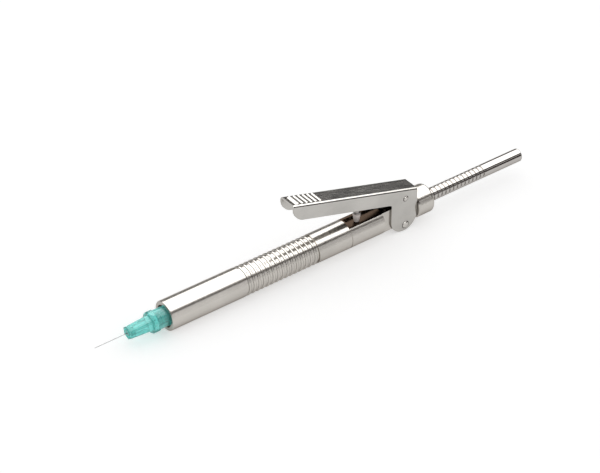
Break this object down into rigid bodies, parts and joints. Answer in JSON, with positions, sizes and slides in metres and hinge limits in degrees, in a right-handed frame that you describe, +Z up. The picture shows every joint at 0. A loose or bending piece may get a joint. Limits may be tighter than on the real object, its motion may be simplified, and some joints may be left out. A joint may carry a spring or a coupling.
{
  "type": "lever-ratchet dental syringe",
  "caption": "Pen-shaped dental cartridge syringe; a squeeze lever steps a ring-grooved plunger rod through a ringed steel barrel with a screw-on needle.",
  "frame": {"origin": "on the syringe's axis where the barrel's full diameter starts, 0.5 mm behind its front face", "axes": "+X along the axis from the needle towards the rod, +Z up towards the squeeze lever, Y across"},
  "size_m": [0.2034, 0.012, 0.0351],
  "materials": {
    "polished_steel": "satin-polished stainless steel",
    "lever_steel": "fine-ground stainless sheet",
    "rod_steel": "polished stainless steel",
    "pin_steel": "polished rivet heads",
    "inner_steel": "machined stainless steel",
    "needle_steel": "drawn stainless tube",
    "spring_steel": "drawn spring wire",
    "hub_plastic": "translucent teal polypropylene",
    "liner_plastic": "white fluoropolymer liner",
    "brake_plastic": "off-white acetal",
    "cartridge_glass": "clear neutral glass",
    "cap_aluminium": "bright crimped aluminium",
    "stopper_rubber": "brown bromobutyl rubber",
    "seal_rubber": "black nitrile rubber",
    "bush_bronze": "sintered bronze"
  },
  "bodies": {
    "handle": {"body": "polished_steel", "barrel_o_ring": "seal_rubber", "rear_nut": "polished_steel", "rod_bush": "bush_bronze", "friction_ring": "seal_rubber", "brake_plunger": "brake_plastic", "lever_spring": "spring_steel"},
    "cartridge": {"cartridge_sleeve": "liner_plastic", "cartridge_glass": "cartridge_glass", "cartridge_cap": "cap_aluminium", "cartridge_diaphragm": "stopper_rubber", "cartridge_cushion": "seal_rubber"},
    "stopper": {"cartridge_stopper": "stopper_rubber"},
    "barrel": {"barrel": "polished_steel", "needle_adapter": "inner_steel", "adapter_seal": "seal_rubber", "needle_hub": "hub_plastic", "needle_cannula": "needle_steel"},
    "rod": {"ratchet_rod": "rod_steel", "piston_tip": "inner_steel"},
    "lever": {"lever": "lever_steel", "hinge_pin": "pin_steel", "pawl_pin": "pin_steel"},
    "pawl": {"drive_pawl": "inner_steel", "pawl_spring": "spring_steel"}
  },
  "joints": [
    {"name": "lever_press", "type": "hinge", "parent": "handle", "child": "lever", "pos_m": [0.1104, 0, -0.0051], "axis": [0, -1, 0], "range_deg": [0, 15.5], "stiffness_Nm_per_rad": 0.15, "springref_deg": -14.32, "deforming": ["lever_spring"]},
    {"name": "pawl_swing", "type": "hinge", "parent": "lever", "child": "pawl", "pos_m": [0.1101, 0, 0.00754], "axis": [0, -1, 0], "range_deg": [-23.5, 0], "deforming": ["pawl_spring"]},
    {"name": "rod_slide", "type": "slide", "parent": "handle", "child": "rod", "axis": [-1, 0, 0], "range_m": [0, 0.046]},
    {"name": "barrel_advance", "type": "slide", "parent": "handle", "child": "cartridge", "axis": [-1, 0, 0], "range_m": [0, 0.006]},
    {"name": "barrel_unscrew", "type": "hinge", "parent": "cartridge", "child": "barrel", "pos_m": [0, 0, 0], "axis": [-1, 0, 0], "range_deg": [0, 2160]},
    {"name": "stopper_slide", "type": "slide", "parent": "cartridge", "child": "stopper", "axis": [-1, 0, 0], "range_m": [0, 0.0465]}
  ],
  "couplings": [
    {"joint": "pawl_swing", "follows": "lever_press", "ratio": -1.476},
    {"joint": "stopper_slide", "follows": "rod_slide", "ratio": 1},
    {"joint": "barrel_advance", "follows": "barrel_unscrew", "m_per_rad": 0.00015915}
  ]
}
